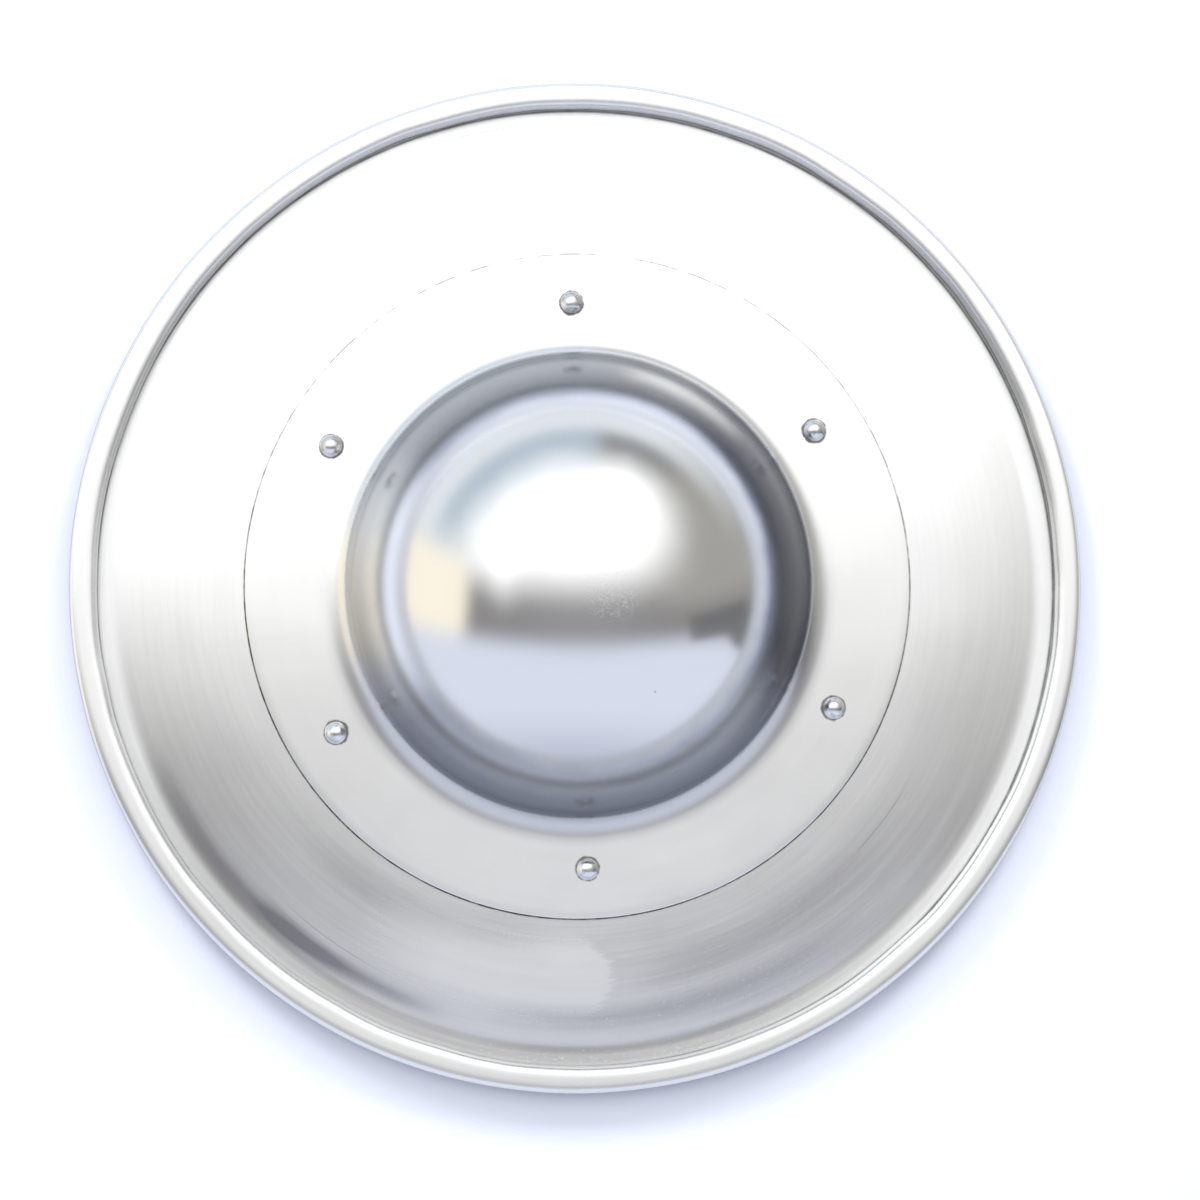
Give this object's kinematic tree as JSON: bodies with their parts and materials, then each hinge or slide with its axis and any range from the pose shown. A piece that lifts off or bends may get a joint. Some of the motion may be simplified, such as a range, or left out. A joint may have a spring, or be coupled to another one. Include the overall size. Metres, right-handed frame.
{
  "type": "buckler shield",
  "caption": "Round steel buckler: a dished plate with a rolled edge, a polished domed boss riveted on by its flange, and a half-round grip behind.",
  "frame": {"origin": "on the boss's axis, in the plane that the back of the lip lies in", "axes": "+Z out of the boss, +Y towards the shield's upper edge, +X to the right seen from the front"},
  "size_m": [0.3044, 0.305, 0.064],
  "materials": {
    "plate_steel": "satin, brushed in circles",
    "boss_steel": "polished dome, satin flange",
    "grip_steel": "brushed along its length",
    "rivet_steel": "polished"
  },
  "bodies": {
    "root": {"plate": "plate_steel", "boss": "boss_steel", "grip": "grip_steel", "rivet_1": "rivet_steel", "rivet_2": "rivet_steel", "rivet_3": "rivet_steel", "rivet_4": "rivet_steel", "rivet_5": "rivet_steel", "rivet_6": "rivet_steel"}
  },
  "joints": []
}
